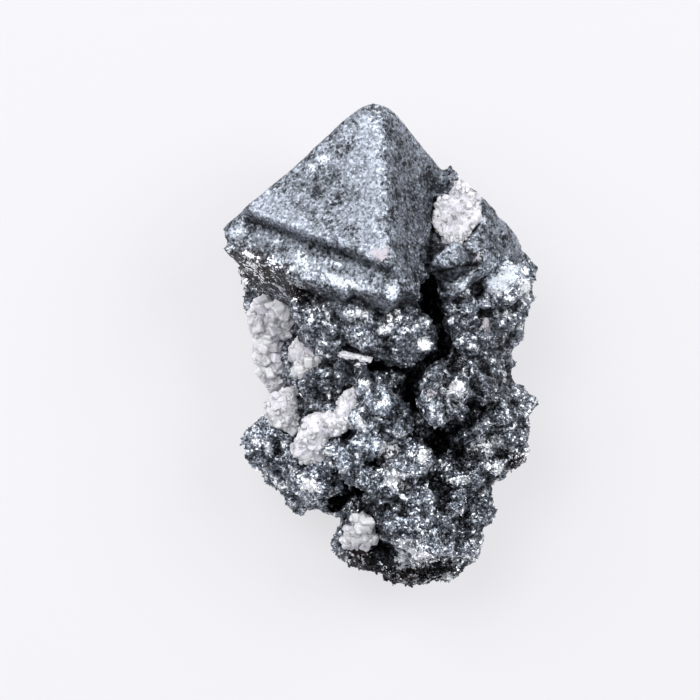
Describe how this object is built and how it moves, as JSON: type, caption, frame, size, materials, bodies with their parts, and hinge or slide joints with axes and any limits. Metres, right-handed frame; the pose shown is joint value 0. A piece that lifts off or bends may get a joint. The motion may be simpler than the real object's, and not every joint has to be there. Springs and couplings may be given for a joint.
{
  "type": "hematite pseudomorph",
  "caption": "Cluster of grey metallic octahedral crystals on a rough crystalline mass, with pale mineral grains in its hollows.",
  "frame": {"origin": "centre of the bounding box, on the surface that the specimen lies on", "axes": "+Y from the rough base to the tip of the main crystal, +Z out of the show side, +X to the right of the show side"},
  "size_m": [0.0326, 0.0498, 0.0243],
  "materials": {
    "hematite_crystals": "steel grey, metallic lustre",
    "pale_crystals_left": "milky, slightly translucent",
    "pale_crystals_upper": "milky, slightly translucent",
    "pale_knob_left": "milky, slightly translucent",
    "pale_vein": "milky, slightly translucent",
    "pale_crystals_bottom": "milky, slightly translucent",
    "pale_crust_right": "milky white crust",
    "pale_sliver": "milky, slightly translucent"
  },
  "bodies": {
    "root": {"hematite_crystals": "hematite_crystals", "pale_crystals_left": "pale_crystals_left", "pale_crystals_upper": "pale_crystals_upper", "pale_knob_left": "pale_knob_left", "pale_vein": "pale_vein", "pale_crystals_bottom": "pale_crystals_bottom", "pale_crust_right": "pale_crust_right", "pale_sliver": "pale_sliver"}
  },
  "joints": []
}
